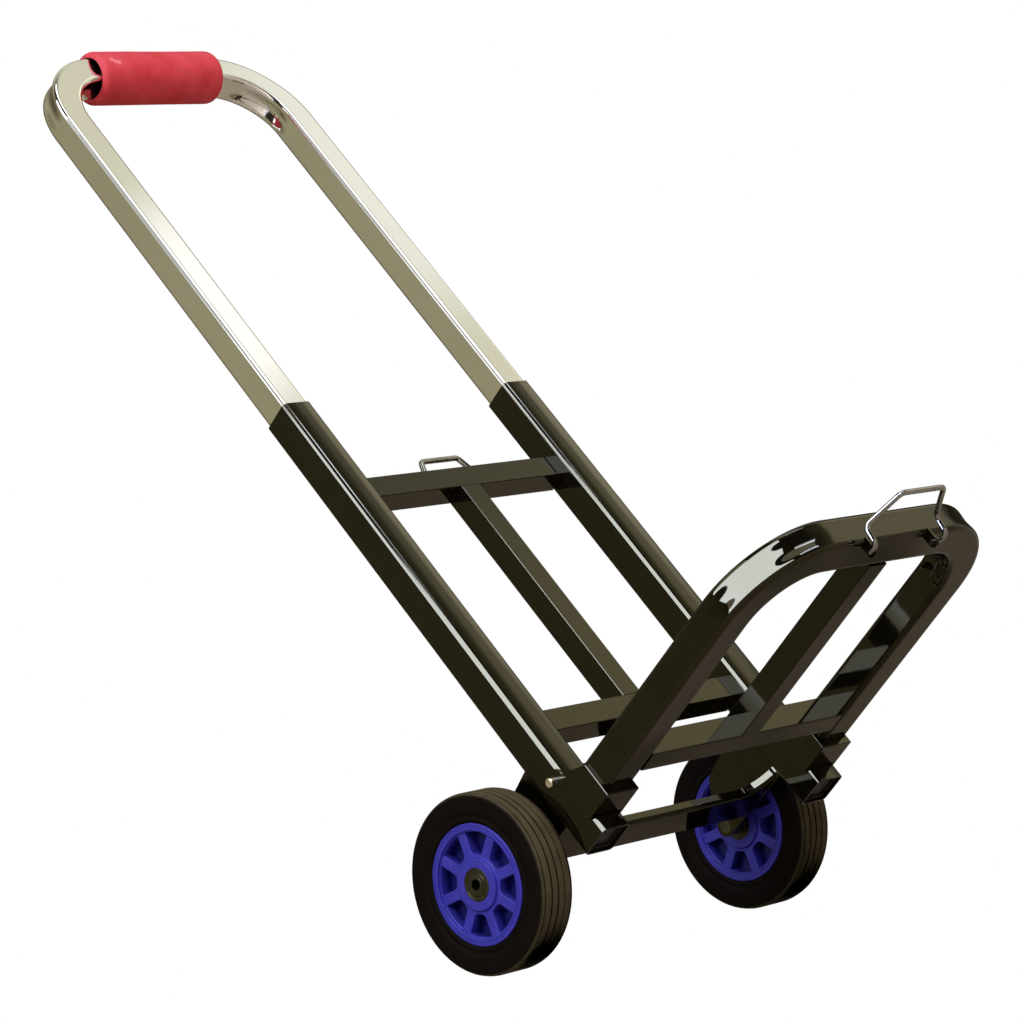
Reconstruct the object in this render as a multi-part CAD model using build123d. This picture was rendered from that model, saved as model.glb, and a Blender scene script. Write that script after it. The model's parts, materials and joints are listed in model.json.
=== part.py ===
from build123d import *
import os

os.makedirs("parts", exist_ok=True)

# Folding hand truck, standing upright on its wheels.
# Millimetres, +Z up, the platform points to -Y, the user's right hand is at -X.
# Sizes are laid out from the front face of the side tubes (Y = 0) and the floor (Z = 0).

# Driving dimensions of the frame
frame_width = 302.0
side_tube_size = 32.0
side_tube_corner = 4.5
side_tube_wall = 1.5
foot_height = 26.5
side_tube_length = 483.0
crossbar_size = 22.0
crossbar_corner = 0.8
crossbar_wall = 1.5
upper_crossbar_height = 403.5
lower_crossbar_height = 135.0

# Driving dimensions of the wheels and their axles
wheel_radius = 75.0
tyre_width = 36.0
wheel_offset = 162.6
axle_set_back = 117.4
hub_width = 34.0
hub_radius = 50.3
hub_rim_inside = 44.0
boss_radius = 21.5
spoke_count = 8
spoke_width = 9.0
spoke_set_back = 6.5
web_thickness = 8.0
pocket_inside = 24.5
pocket_outside = 43.0
bearing_outside = 14.0
bearing_bore = 6.0
bearing_width = 8.0

# Driving dimensions of the handle
handle_size = 28.4
handle_corner = 4.0
handle_wall = 1.2
handle_low_end = 429.0
handle_axis_height = 945.0
handle_bend = 68.0
handle_travel = 310.0
grip_diameter = 50.0
grip_length = 146.0

# Driving dimensions of the folding platform
platform_bottom = 46.75
platform_thickness = 30.0
platform_front = -290.5
platform_bend = 65.5
platform_crossbar_front = -60.0
platform_crossbar_depth = 20.0
pin_set_back = 8.0
pin_radius = 4.0
cheek_thickness = 2.5
cheek_front = -26.0
pad_thickness = 6.0
boss_outside = 10.0

# Driving dimensions of the wire pieces
loop_wire = 5.0
loop_half_base = 30.0
loop_half_top = 22.3
loop_height = 19.5
bail_wire = 4.5
bail_pivot_y = -287.0
bail_pivot_drop = 7.6
bail_half_arm = 44.5
bail_half_tip = 27.0
bail_knee_y = -297.4
bail_knee_height = 36.5
bail_shoulder_y = -300.8
bail_shoulder_height = 54.4
bail_tip_y = -334.0
bail_tip_height = 55.2

# Fits
slide_gap = 0.3
press_gap = 0.01
running_gap = 0.07
plug_gap = 0.15
stop_gap = 0.1

# How far a cutter runs past the metal that it cuts
run_out = 1.0

# Places worked out from the driving dimensions
SIDES = {"right": -1, "left": 1}
tube_x = (frame_width - side_tube_size) / 2
tube_y = side_tube_size / 2
inner_face = frame_width / 2 - side_tube_size
outer_face = frame_width / 2
crossbar_y = side_tube_size - crossbar_size / 2
platform_top = platform_bottom + platform_thickness
platform_mid = platform_bottom + platform_thickness / 2
pin_height = platform_top + pin_set_back + slide_gap
bail_pivot_height = platform_bottom - bail_pivot_drop
footprint_front = bail_tip_y - bail_wire / 2
footprint_back = axle_set_back + wheel_radius
footprint_shift = -(footprint_front + footprint_back) / 2


def save(name, shape):
    """Write one piece, with the middle of the truck's footprint at the origin."""
    export_step(Pos(0, footprint_shift, 0) * shape, f"parts/{name}.step")


def tube_section(width, depth, corner, wall):
    """Hollow rectangle with rounded corners, centred on the origin."""
    sharpest_bore = 0.3
    bore = RectangleRounded(width - 2 * wall, depth - 2 * wall, max(corner - wall, sharpest_bore))
    return RectangleRounded(width, depth, corner) - bore


def rod_x(radius, x_start, x_end, y, z):
    """Round bar along X between two places."""
    bar = Rot(0, 90, 0) * Cylinder(radius, abs(x_end - x_start))
    return Pos((x_start + x_end) / 2, y, z) * bar


def rod_y(radius, y_start, y_end, x, z):
    """Round bar along Y between two places."""
    bar = Rot(90, 0, 0) * Cylinder(radius, abs(y_end - y_start))
    return Pos(x, (y_start + y_end) / 2, z) * bar


def plate_x(outline, x_start, x_end):
    """Plate cut from an outline drawn in Y and Z, between two places along X."""
    low = min(x_start, x_end)
    sheet = extrude(Plane.YZ * outline, amount=abs(x_end - x_start))
    return Pos(low, 0, 0) * sheet


def softened(plate, x, radius):
    """The plate with the edges of its face at one place along X rounded."""
    rims = plate.edges().filter_by_position(Axis.X, x - press_gap, x + press_gap)
    return fillet(rims, radius)


def ring_section(x, width, inner_radius, outer_radius):
    """Section of a plain ring about X, drawn as (distance along X, radius)."""
    return Pos(x, (inner_radius + outer_radius) / 2) * Rectangle(width, outer_radius - inner_radius)


def turned_about_x(profile, x):
    """Solid of revolution about X from a profile drawn as (distance along X, radius)."""
    return Pos(x, 0, 0) * revolve(profile, axis=Axis.X)


# Frame

lock_hole_radius = 4.4
button_above_end = 20.0
lock_height = handle_low_end + button_above_end


def side_tube(side):
    """Upright tube, open at the mouth, with the pivot hole and two lock holes."""
    section = tube_section(side_tube_size, side_tube_size, side_tube_corner, side_tube_wall)
    tube = Pos(side * tube_x, tube_y, foot_height) * extrude(section, amount=side_tube_length)
    pin_hole = rod_x(
        pin_radius + press_gap,
        side * (inner_face - run_out),
        side * (outer_face + run_out),
        pin_set_back,
        pin_height,
    )
    tube -= pin_hole
    for height in (lock_height, lock_height - handle_travel):
        tube -= rod_y(lock_hole_radius, tube_y, side_tube_size + run_out, side * tube_x, height)
    return tube


def foot_plug(side):
    """Moulded insert set back in the open foot of a side tube."""
    set_back = 2.5
    plug_height = 12.0
    dish = 1.5
    dish_border = 3.5
    dish_corner = 2.0
    size = side_tube_size - 2 * (side_tube_wall + plug_gap)
    dish_size = size - 2 * dish_border
    block = extrude(RectangleRounded(size, size, side_tube_corner - side_tube_wall), amount=plug_height)
    block -= extrude(RectangleRounded(dish_size, dish_size, dish_corner), amount=dish)
    return Pos(side * tube_x, tube_y, foot_height + set_back) * block


def crossbar(height):
    """Square bar between the side tubes, flush with their backs."""
    section = tube_section(crossbar_size, crossbar_size, crossbar_corner, crossbar_wall)
    bar = extrude(Plane.YZ * section, amount=2 * inner_face)
    return Pos(-inner_face, crossbar_y, height + crossbar_size / 2) * bar


def centre_bar():
    """Square bar that joins the two crossbars."""
    section = tube_section(crossbar_size, crossbar_size, crossbar_corner, crossbar_wall)
    low = lower_crossbar_height + crossbar_size
    return Pos(0, crossbar_y, low) * extrude(section, amount=upper_crossbar_height - low)


def cord_loop():
    """Wire loop standing on the upper crossbar, its legs leaning inwards."""
    sunk = 4.0
    bend = 5.0
    seat = upper_crossbar_height + crossbar_size
    lean = (loop_half_base - loop_half_top) / loop_height
    foot_x = loop_half_base + lean * sunk
    path = FilletPolyline(
        (-foot_x, crossbar_y, seat - sunk),
        (-loop_half_top, crossbar_y, seat + loop_height),
        (loop_half_top, crossbar_y, seat + loop_height),
        (foot_x, crossbar_y, seat - sunk),
        radius=bend,
    )
    start = Plane(origin=path @ 0, z_dir=path % 0)
    wire = sweep(start * Circle(loop_wire / 2), path=path)
    bar = Box(4 * foot_x, crossbar_size, crossbar_size)
    return wire - Pos(0, crossbar_y, seat - crossbar_size / 2) * bar


bracket_inside = 130.0
bracket_outside = 133.5
axle_height = wheel_radius


def axle_bracket(side):
    """Plate from the back of a side tube to the lug that holds the stub axle."""
    lug_radius = 9.0
    corner_radius = 12.0
    edge_radius = 0.6
    low_front = (side_tube_size, 63.5)
    high_front = (side_tube_size, 126.5)
    top_back = (99.0, 116.5)
    upper_back = (112.0, 101.0)
    outline = Polygon(
        low_front,
        (axle_set_back, axle_height - lug_radius),
        (axle_set_back + lug_radius, axle_height),
        upper_back,
        top_back,
        high_front,
        align=None,
    )
    upper_corners = [outline.vertices().sort_by_distance(place)[0] for place in (top_back, upper_back)]
    outline = fillet(upper_corners, corner_radius)
    outline += Pos(axle_set_back, axle_height) * Circle(lug_radius)
    plate = plate_x(outline, side * bracket_inside, side * bracket_outside)
    weld_edges = plate.edges().filter_by_position(Axis.Y, -run_out, side_tube_size + press_gap)
    rims = plate.edges().filter_by(Axis.X, reverse=True) - weld_edges
    plate = fillet(rims, edge_radius)
    hole = rod_x(
        bearing_bore,
        side * (bracket_inside - run_out),
        side * (bracket_outside + run_out),
        axle_set_back,
        axle_height,
    )
    return plate - hole


def axle_cross_plate():
    """Pressed plate between the brackets, its front edge turned up and flared to the side tubes."""
    sheet = 2.5
    bend_radius = 3.5
    lip_height = 9.0
    front = 62.0
    back = 92.0
    flare_start = 96.0
    flare_front = 36.0
    flare_mid = (121.0, 52.0)
    underside = 65.0
    edge = [
        ThreePointArc((-bracket_inside, flare_front), (-flare_mid[0], flare_mid[1]), (-flare_start, front)),
        Line((-flare_start, front), (flare_start, front)),
        ThreePointArc((flare_start, front), flare_mid, (bracket_inside, flare_front)),
    ]
    rest = Polyline((bracket_inside, flare_front), (bracket_inside, back), (-bracket_inside, back),
                    (-bracket_inside, flare_front))
    web_outline = make_face(edge + rest.edges())
    web = extrude(web_outline, amount=sheet)
    inside_outline = Pos(0, sheet, 0) * web_outline
    lip = extrude(web_outline - inside_outline, amount=lip_height)
    back_lip = Pos(0, back - sheet / 2, lip_height / 2) * Box(2 * bracket_inside, sheet, lip_height)
    plate = web + lip + back_lip
    low_edges = plate.edges().filter_by_position(Axis.Z, -press_gap, press_gap)
    low_edges = low_edges.filter_by_position(Axis.X, press_gap - bracket_inside, bracket_inside - press_gap)
    bend_edges = low_edges.filter_by_position(Axis.Y, flare_front, front + press_gap)
    return Pos(0, 0, underside) * fillet(bend_edges, bend_radius)


def pivot_pin(side):
    """Plain pin pressed through a side tube, standing proud on both sides."""
    outside_length = 11.5
    inside_length = 10.0
    tip_radius = 1.0
    pin = rod_x(
        pin_radius,
        side * (inner_face - inside_length),
        side * (outer_face + outside_length),
        pin_set_back,
        pin_height,
    )
    return fillet(pin.edges().filter_by(GeomType.CIRCLE), tip_radius)


# Wheels and axles

hub_inside = wheel_offset - hub_width / 2
hub_outside = wheel_offset + hub_width / 2
spacer_radius = 8.5


def on_axle(shape, side):
    """Put a piece that was made about the X axis on the axle of one side."""
    placed = shape if side > 0 else Rot(0, 0, 180) * shape
    return Pos(0, axle_set_back, axle_height) * placed


def stub_axle(side):
    """Axle welded flush in the bracket, its tubular end rolled over the outer bearing."""
    rolled_radius = 7.0
    rolled_thickness = 0.8
    rolled_edge = 0.5
    hollow_radius = 4.7
    hollow_depth = 16.0
    end = hub_outside + rolled_thickness
    rolled = rod_x(rolled_radius, hub_outside, end, 0, 0)
    rolled = fillet(rolled.edges().filter_by(GeomType.CIRCLE).sort_by(Axis.X)[-1], rolled_edge)
    axle = rod_x(bearing_bore - press_gap, bracket_inside, end, 0, 0)
    axle = axle + rolled - rod_x(hollow_radius, end - hollow_depth, end, 0, 0)
    return on_axle(axle, side)


def axle_spacers(side):
    """Sleeves between the bracket and the wheel, and between the two bearings."""
    bore = bearing_bore + press_gap
    sleeves = []
    for start, end in (
        (bracket_outside, hub_inside),
        (hub_inside + bearing_width, hub_outside - bearing_width),
    ):
        sleeves.append(rod_x(spacer_radius, start, end, 0, 0) - rod_x(bore, start, end, 0, 0))
    return on_axle(sleeves[0] + sleeves[1], side)


def bearing_rings(side, inner):
    """The two inner rings, or the two shielded outer rings, of one wheel's bearings."""
    inner_ring_radius = 9.6
    outer_ring_inside = 12.2
    shield_gap = 0.4
    shield = 0.7
    shield_set_back = 0.5
    ring_edge = 0.4
    shield_inside = inner_ring_radius + shield_gap
    rings = Part()
    for middle in (hub_inside + bearing_width / 2, hub_outside - bearing_width / 2):
        if inner:
            profile = ring_section(middle, bearing_width, bearing_bore, inner_ring_radius)
            profile = chamfer(profile.vertices().sort_by(Axis.Y)[-2:], ring_edge)
        else:
            profile = ring_section(middle, bearing_width, outer_ring_inside, bearing_outside)
            profile = chamfer(profile.vertices(), ring_edge)
            shield_place = (bearing_width - shield) / 2 - shield_set_back
            for place in (middle - shield_place, middle + shield_place):
                profile += ring_section(place, shield, shield_inside, outer_ring_inside)
        rings += revolve(profile, axis=Axis.X)
    return on_axle(rings, side)


key_radius = 54.0
key_width = 13.0
seat_gap = 0.1


def hub_blank():
    """Hub without its pockets, turned from the section of rim, spoke disc, boss and tyre key."""
    boss_draft = 0.8
    boss_edge = 1.0
    boss_root = 1.0
    rim_edge = 0.8
    groove_middle = 47.2
    groove_width = 2.6
    groove_depth = 0.45
    core_bore = 10.0
    half_width = hub_width / 2
    half_disc = half_width - spoke_set_back
    section = make_face(
        Polyline(
            (-half_width, core_bore),
            (-half_width, boss_radius),
            (-half_disc, boss_radius + boss_draft),
            (-half_disc, hub_rim_inside),
            (-half_width, hub_rim_inside),
            (-half_width, hub_radius),
            (half_width, hub_radius),
            (half_width, hub_rim_inside),
            (half_disc, hub_rim_inside),
            (half_disc, boss_radius + boss_draft),
            (half_width, boss_radius),
            (half_width, core_bore),
            close=True,
        )
    )
    for end in (-1, 1):
        for place, radius in (
            ((end * half_width, boss_radius), boss_edge),
            ((end * half_disc, boss_radius + boss_draft), boss_root),
            ((end * half_width, hub_rim_inside), rim_edge),
            ((end * half_width, hub_radius), rim_edge),
        ):
            corner = section.vertices().sort_by_distance((*place, 0))[0]
            section = fillet(corner, radius)
        section -= Pos(end * half_width, groove_middle) * Rectangle(2 * groove_depth, groove_width)
        seat_middle = end * (half_width - bearing_width / 2)
        section -= ring_section(seat_middle, bearing_width, core_bore, bearing_outside + press_gap)
    section += ring_section(0, key_width, boss_radius + 2 * boss_draft, key_radius)
    return turned_about_x(section, wheel_offset)


def hub_pockets():
    """Outlines of the pockets between the spokes, round at the boss and square at the rim."""
    round_end = 4.4
    square_end = 0.8
    pockets = Circle(pocket_outside) - Circle(pocket_inside)
    pitch = 360 / spoke_count
    for number in range(spoke_count):
        spoke = Pos(hub_rim_inside / 2, 0) * Rectangle(hub_rim_inside, spoke_width)
        pockets -= Rot(0, 0, (number + 0.5) * pitch) * spoke
    inner_corners = pockets.vertices().sort_by_distance((0, 0, 0))[: 2 * spoke_count]
    pockets = fillet(inner_corners, round_end)
    outer_corners = pockets.vertices().sort_by_distance((0, 0, 0))[-2 * spoke_count:]
    return fillet(outer_corners, square_end)


def hub(side):
    """Moulded hub: rim, closed web, sunk spokes on both faces and a boss with bearing seats."""
    pocket_edge = 0.6
    pocket_depth = (hub_width - web_thickness) / 2 - spoke_set_back
    spoke_faces = (hub_inside + spoke_set_back, hub_outside - spoke_set_back)
    moulding = hub_blank()
    cutter = extrude(Plane.YZ * hub_pockets(), amount=pocket_depth)
    moulding -= Pos(spoke_faces[0], 0, 0) * cutter
    moulding -= Pos(spoke_faces[1] - pocket_depth, 0, 0) * cutter
    for place in spoke_faces:
        level = moulding.faces().filter_by_position(Axis.X, place - press_gap, place + press_gap)
        rims = []
        for edge in level.sort_by(SortBy.AREA)[-1].edges():
            middle = edge @ 0.5
            if pocket_inside - press_gap < Vector(0, middle.Y, middle.Z).length < pocket_outside + press_gap:
                rims.append(edge)
        moulding = fillet(rims, pocket_edge)
    return on_axle(moulding, side)


def tyre(side):
    """Solid rubber tyre with rounded shoulders, fine grooves and a keyed bore."""
    shoulder = 4.6
    bead = 2.4
    groove_count = 4
    groove_pitch = 8.0
    groove_width = 1.2
    groove_depth = 1.2
    bore = hub_radius + seat_gap
    section = ring_section(0, tyre_width, bore, wheel_radius)
    section = fillet(section.vertices().sort_by(Axis.Y)[-2:], shoulder)
    section = fillet(section.vertices().sort_by(Axis.Y)[:2], bead)
    for number in range(groove_count):
        place = (number - (groove_count - 1) / 2) * groove_pitch
        section -= ring_section(place, groove_width, wheel_radius - groove_depth, wheel_radius)
    section -= ring_section(0, key_width + 2 * seat_gap, bore, key_radius + seat_gap)
    return on_axle(turned_about_x(section, wheel_offset), side)


# Handle

button_radius = 4.0
button_travel = 4.0


def handle_path():
    """Centre line of the handle: up one side, over the top and down the other."""
    return FilletPolyline(
        (-tube_x, tube_y, handle_low_end),
        (-tube_x, tube_y, handle_axis_height),
        (tube_x, tube_y, handle_axis_height),
        (tube_x, tube_y, handle_low_end),
        radius=handle_bend,
    )


def handle_tube():
    """Bright U of square tube with a button hole in the back of each leg."""
    path = handle_path()
    start = Plane(origin=path @ 0, x_dir=(1, 0, 0), z_dir=(0, 0, 1))
    section = tube_section(handle_size, handle_size, handle_corner, handle_wall)
    tube = sweep(start * section, path=path)
    for side in SIDES.values():
        tube -= rod_y(button_radius + running_gap, tube_y, side_tube_size, side * tube_x, lock_height)
    return tube


def grip():
    """Foam sleeve with rounded ends on the top bar; its round bore grips the corners of the square tube."""
    end_radius = 5.0
    bore_end_radius = 0.8
    corner_reach = (handle_size / 2 - handle_corner) * 2**0.5 + handle_corner
    bend_drop = (grip_length / 2 - (tube_x - handle_bend)) ** 2 / (2 * handle_bend)
    bore = corner_reach + bend_drop + stop_gap
    section = ring_section(0, grip_length, bore, grip_diameter / 2)
    section = fillet(section.vertices().sort_by(Axis.Y)[-2:], end_radius)
    section = fillet(section.vertices().sort_by(Axis.Y)[:2], bore_end_radius)
    return Pos(0, tube_y, handle_axis_height) * revolve(section, axis=Axis.X)


def handle_end_plug(side):
    """Moulded plug in the lower end of the handle, with a flange that guides it in the side tube."""
    flange = 3.0
    insert = 10.0
    insert_corner = 2.5
    insert_size = handle_size - 2 * (handle_wall + plug_gap)
    plug = extrude(RectangleRounded(handle_size, handle_size, handle_corner), amount=-flange)
    plug += extrude(RectangleRounded(insert_size, insert_size, insert_corner), amount=insert)
    return Pos(side * tube_x, tube_y, handle_low_end) * plug


handle_back = tube_y + handle_size / 2
flange_front = handle_back - handle_wall - button_travel - stop_gap
flange_thickness = 1.5


def snap_button(side):
    """Round lock button, drawn pressed in, with a flange that keeps it in the handle."""
    flange_radius = 6.5
    nose = 1.2
    button = rod_y(button_radius, flange_front, handle_back, side * tube_x, lock_height)
    tip = button.edges().filter_by(GeomType.CIRCLE).sort_by(Axis.Y)[-1]
    button = fillet(tip, nose)
    return button + rod_y(
        flange_radius, flange_front - flange_thickness, flange_front, side * tube_x, lock_height
    )


def button_spring(side):
    """Folded leaf spring between the button's flange and the front wall of the handle."""
    leaf = 0.8
    leaf_width = 10.0
    fold_radius = 2.5
    free_end = lock_height - 8.0
    shoulder_height = lock_height + 9.0
    fold_height = lock_height + 52.0
    button_side = flange_front - flange_thickness - leaf / 2 - stop_gap
    wall_side = tube_y - handle_size / 2 + handle_wall + leaf / 2 + stop_gap
    path = FilletPolyline(
        (side * tube_x, button_side, free_end),
        (side * tube_x, button_side, shoulder_height),
        (side * tube_x, wall_side, fold_height),
        (side * tube_x, wall_side, free_end),
        radius=fold_radius,
    )
    start = Plane(origin=path @ 0, x_dir=(1, 0, 0), z_dir=(0, 0, 1))
    return sweep(start * Rectangle(leaf_width, leaf), path=path)


# Platform

def platform_tube():
    """U of rectangular tube, its two ends facing the side tubes."""
    end_y = -slide_gap
    front_y = platform_front + side_tube_size / 2
    path = FilletPolyline(
        (-tube_x, end_y, platform_mid),
        (-tube_x, front_y, platform_mid),
        (tube_x, front_y, platform_mid),
        (tube_x, end_y, platform_mid),
        radius=platform_bend,
    )
    start = Plane(origin=path @ 0, x_dir=(1, 0, 0), z_dir=(0, -1, 0))
    section = tube_section(side_tube_size, platform_thickness, side_tube_corner, side_tube_wall)
    return sweep(start * section, path=path)


def platform_crossbar():
    """Bar across the rear of the platform, flush with its underside."""
    section = tube_section(platform_crossbar_depth, crossbar_size, crossbar_corner, crossbar_wall)
    bar = extrude(Plane.YZ * section, amount=2 * inner_face)
    middle_y = platform_crossbar_front + platform_crossbar_depth / 2
    return Pos(-inner_face, middle_y, platform_bottom + crossbar_size / 2) * bar


def platform_centre_bar():
    """Bar from the crossbar to the front of the platform."""
    front_bar_inside = platform_front + side_tube_size
    section = tube_section(crossbar_size, crossbar_size, crossbar_corner, crossbar_wall)
    bar = extrude(Plane.XZ * section, amount=platform_crossbar_front - front_bar_inside)
    return Pos(0, platform_crossbar_front, platform_bottom + crossbar_size / 2) * bar


def hinge_saddle(side):
    """Two cheeks that straddle a side tube, joined by a pad under the end of the platform tube."""
    heel = 4.0
    heel_mid = (14.8, 60.0)
    cheek_drop = 4.0
    cheek_top_front = platform_top - cheek_drop
    low = platform_bottom - pad_thickness
    outline = make_face(
        [
            Line((cheek_front, low), (heel, low)),
            ThreePointArc((heel, low), heel_mid, (pin_set_back + boss_outside, pin_height)),
            ThreePointArc(
                (pin_set_back + boss_outside, pin_height),
                (pin_set_back, pin_height + boss_outside),
                (pin_set_back - boss_outside, pin_height),
            ),
            Line((pin_set_back - boss_outside, pin_height), (cheek_front, cheek_top_front)),
            Line((cheek_front, cheek_top_front), (cheek_front, low)),
        ]
    )
    cheek_edge = 0.7
    inner_start = inner_face - slide_gap - cheek_thickness
    outer_start = outer_face + slide_gap
    outer_end = outer_start + cheek_thickness
    inner_cheek = plate_x(outline, side * inner_start, side * (inner_start + cheek_thickness))
    outer_cheek = plate_x(outline, side * outer_start, side * outer_end)
    saddle = softened(inner_cheek, side * inner_start, cheek_edge)
    saddle += softened(outer_cheek, side * outer_end, cheek_edge)
    pad_back = -1.0
    pad_outline = Pos((cheek_front + pad_back) / 2, low + pad_thickness / 2) * Rectangle(
        pad_back - cheek_front, pad_thickness
    )
    front_corner = pad_outline.vertices().sort_by_distance((cheek_front, low, 0))[0]
    pad_outline = fillet(front_corner, cheek_edge)
    saddle += plate_x(pad_outline, side * (inner_start + cheek_thickness), side * outer_start)
    return saddle - rod_x(
        pin_radius + running_gap,
        side * (inner_start - run_out),
        side * (outer_end + run_out),
        pin_set_back,
        pin_height,
    )


ear_thickness = 2.5
ear_outside = 40.3


def bail_ears():
    """Two slim rounded tabs under the front corner of the platform that carry the bail."""
    half_width = 4.4
    tab_top = platform_bottom + side_tube_corner
    tab = Pos(bail_pivot_y, (tab_top + bail_pivot_height) / 2) * Rectangle(
        2 * half_width, tab_top - bail_pivot_height
    )
    outline = tab + Pos(bail_pivot_y, bail_pivot_height) * Circle(half_width)
    outline -= Pos(bail_pivot_y, bail_pivot_height) * Circle(bail_wire / 2 + running_gap)
    front_bar = RectangleRounded(side_tube_size, platform_thickness, side_tube_corner)
    outline -= Pos(platform_front + side_tube_size / 2, platform_mid) * front_bar
    ears = Part()
    for side in SIDES.values():
        ears += plate_x(outline, side * (ear_outside - ear_thickness), side * ear_outside)
    return ears


def front_bail():
    """Bent wire that hooks round the front of the platform, its ends turned into the ears."""
    end_x = 35.0
    bends = [4.6, 4.6, 6.0, 8.0]
    right_half = [
        (-end_x, bail_pivot_y, bail_pivot_height),
        (-bail_half_arm, bail_pivot_y, bail_pivot_height),
        (-bail_half_arm, bail_knee_y, bail_knee_height),
        (-bail_half_arm, bail_shoulder_y, bail_shoulder_height),
        (-bail_half_tip, bail_tip_y, bail_tip_height),
    ]
    left_half = [(-x, y, z) for x, y, z in reversed(right_half)]
    path = FilletPolyline(*right_half, *left_half, radius=bends + bends[::-1])
    start = Plane(origin=path @ 0, z_dir=path % 0)
    return sweep(start * Circle(bail_wire / 2), path=path)


save("upper_crossbar", crossbar(upper_crossbar_height))
save("lower_crossbar", crossbar(lower_crossbar_height))
save("centre_bar", centre_bar())
save("cord_loop", cord_loop())
save("axle_cross_plate", axle_cross_plate())
save("handle_tube", handle_tube())
save("grip", grip())
save("platform_tube", platform_tube())
save("platform_crossbar", platform_crossbar())
save("platform_centre_bar", platform_centre_bar())
save("bail_ears", bail_ears())
save("front_bail", front_bail())

for side_name, side in SIDES.items():
    save(f"side_tube_{side_name}", side_tube(side))
    save(f"foot_plug_{side_name}", foot_plug(side))
    save(f"axle_bracket_{side_name}", axle_bracket(side))
    save(f"pivot_pin_{side_name}", pivot_pin(side))
    save(f"stub_axle_{side_name}", stub_axle(side))
    save(f"axle_spacers_{side_name}", axle_spacers(side))
    save(f"bearing_inner_rings_{side_name}", bearing_rings(side, inner=True))
    save(f"bearing_outer_rings_{side_name}", bearing_rings(side, inner=False))
    save(f"hub_{side_name}", hub(side))
    save(f"tyre_{side_name}", tyre(side))
    save(f"handle_end_plug_{side_name}", handle_end_plug(side))
    save(f"snap_button_{side_name}", snap_button(side))
    save(f"button_spring_{side_name}", button_spring(side))
    save(f"hinge_saddle_{side_name}", hinge_saddle(side))
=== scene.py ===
# %% [markdown]
# # A folding hand truck
# The truck's metal, wheels and joints come in as a finished construction model, in metres, with +Z up
# and the platform pointing to -Y. This lesson gives each piece its finish, makes the soft and
# rule-shaped pieces anew, and sets up the light and the camera.
# The first cell loads the model, and a helper reads the box of any of its pieces.

import json
from math import acos, ceil, copysign, cos, degrees, exp, hypot, pi, radians, sin, tan

import bmesh
import bpy
from mathutils import Matrix, Vector, noise


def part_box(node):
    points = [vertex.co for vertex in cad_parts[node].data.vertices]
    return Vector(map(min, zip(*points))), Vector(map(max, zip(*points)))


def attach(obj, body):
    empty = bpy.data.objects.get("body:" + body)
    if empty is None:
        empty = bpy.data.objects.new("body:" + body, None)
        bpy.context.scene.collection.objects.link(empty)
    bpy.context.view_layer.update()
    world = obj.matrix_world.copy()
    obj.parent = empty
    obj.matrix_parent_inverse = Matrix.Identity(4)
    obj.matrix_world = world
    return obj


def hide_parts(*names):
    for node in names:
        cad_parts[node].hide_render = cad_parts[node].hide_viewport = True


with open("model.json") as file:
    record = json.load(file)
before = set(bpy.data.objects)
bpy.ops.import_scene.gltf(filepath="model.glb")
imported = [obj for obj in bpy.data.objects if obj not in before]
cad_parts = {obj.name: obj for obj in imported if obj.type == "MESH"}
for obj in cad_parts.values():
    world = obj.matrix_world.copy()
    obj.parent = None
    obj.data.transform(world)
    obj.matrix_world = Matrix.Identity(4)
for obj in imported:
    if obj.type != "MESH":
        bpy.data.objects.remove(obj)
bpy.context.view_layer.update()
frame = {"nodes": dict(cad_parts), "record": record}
scene = bpy.context.scene

# %% [markdown]
# ## The camera
# The picture looks up at the truck from low in front of its right wheel, rolled to one side, so the
# upright handle leans across the frame. A camera can be aimed with a Track To constraint, but a
# rolled one is clearer as a place and three turns: azimuth, elevation and roll.

# %% Camera
def add_object(name, data):
    """A new object in the scene for a camera, a lamp or a mesh."""
    piece = bpy.data.objects.new(name, data)
    scene.collection.objects.link(piece)
    return piece


camera_place = Vector((-2.28511, -1.65130, -1.04435))
camera_azimuth, camera_elevation, camera_roll = -53.093, -26.065, -37.873

camera_data = bpy.data.cameras.new("camera")
camera_data.sensor_width = 36.0
camera_data.lens = 130.608
camera = add_object("camera", camera_data)
camera.matrix_world = (
    Matrix.Translation(camera_place)
    @ Matrix.Rotation(radians(camera_azimuth), 4, "Z")
    @ Matrix.Rotation(radians(90 - camera_elevation), 4, "X")
    @ Matrix.Rotation(radians(camera_roll), 4, "Z")
)
scene.camera = camera
scene.view_settings.view_transform = "Standard"
print("camera at", tuple(round(v, 3) for v in camera.matrix_world.translation))

# %% [markdown]
# ## Small helpers for node trees
# Every finish below is a node tree. Trees could be built line by line with nodes.new and links.new, but
# that is long to read. So four helpers join sockets, add a node with its sockets filled in, do a sum,
# and stretch a range of values.

# %% Node helpers
def join(tree, source, target):
    """Link a socket to an input socket, or fill in a plain value."""
    if isinstance(source, bpy.types.NodeSocket):
        tree.links.new(source, target)
    else:
        target.default_value = source


def add_node(tree, kind, sockets=None, **settings):
    """A new node with its settings, then its input sockets, linked or filled in."""
    node = tree.nodes.new(kind)
    for name, value in settings.items():
        setattr(node, name, value)
    for name, value in (sockets or {}).items():
        join(tree, value, node.inputs[name])
    return node


def calculate(tree, operation, first, second=0.0):
    """A Math node on one or two values, each a socket or a number."""
    return add_node(tree, "ShaderNodeMath", {0: first, 1: second}, operation=operation).outputs[0]


def map_range(tree, value, start, end, low=0.0, high=1.0, smooth=False):
    """A number that runs from low to high while a value runs from start to end."""
    sockets = {"Value": value, "From Min": start, "From Max": end, "To Min": low, "To Max": high}
    style = "SMOOTHSTEP" if smooth else "LINEAR"
    return add_node(tree, "ShaderNodeMapRange", sockets, interpolation_type=style).outputs["Result"]


print("node helpers ready")

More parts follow.
